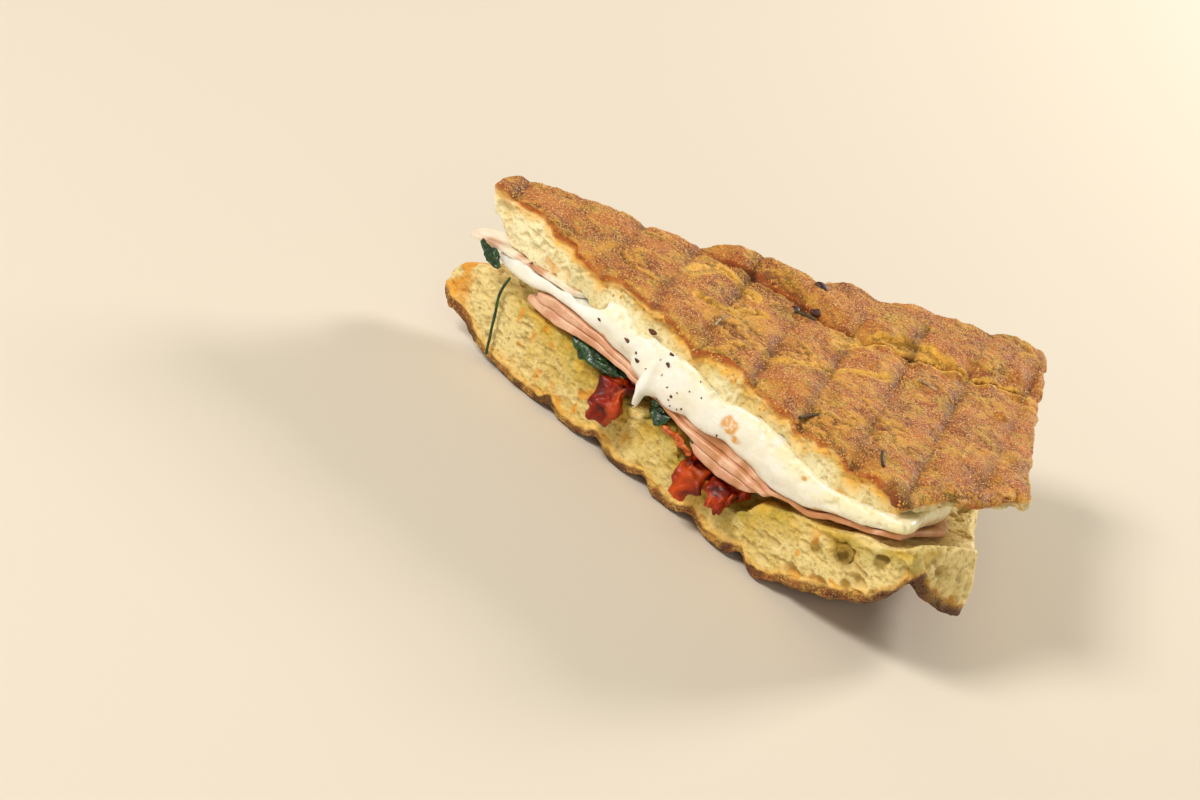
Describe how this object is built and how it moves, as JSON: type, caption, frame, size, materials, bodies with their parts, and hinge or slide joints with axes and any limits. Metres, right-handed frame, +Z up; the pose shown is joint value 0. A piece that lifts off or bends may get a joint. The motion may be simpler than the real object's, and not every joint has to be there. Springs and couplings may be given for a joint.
{
  "type": "panini half",
  "caption": "Half of a pressed grilled panini, cut across at a slant, with melted cheese, ham, spinach and dried tomato between two thick slices of bread.",
  "frame": {"origin": "centre of the bottom of the sandwich's box, on the surface it lies on", "axes": "+X along the cut face from the pointed tip to the heel, +Y away from the cut face into the bread, +Z up through the layers"},
  "size_m": [0.1486, 0.1028, 0.0451],
  "materials": {
    "bottom_bread": "open bread crumb with a toasted crust",
    "top_bread": "brown toasted crust with semolina, pale crumb below",
    "cheese": "soft melted white cheese",
    "turkey": "moist pale cooked slice",
    "ham": "moist pink cooked slice",
    "spinach": "dark wilted leaf",
    "tomato": "oily dried tomato"
  },
  "bodies": {
    "root": {"bottom_bread": "bottom_bread", "top_bread": "top_bread", "cheese": "cheese", "turkey_slice": "turkey", "ham_slice_lower": "ham", "ham_slice_middle": "ham", "ham_slice_upper": "ham", "spinach_tip": "spinach", "spinach_left": "spinach", "spinach_right": "spinach", "spinach_stem": "spinach", "tomato_left": "tomato", "tomato_middle": "tomato", "tomato_right": "tomato"}
  },
  "joints": []
}
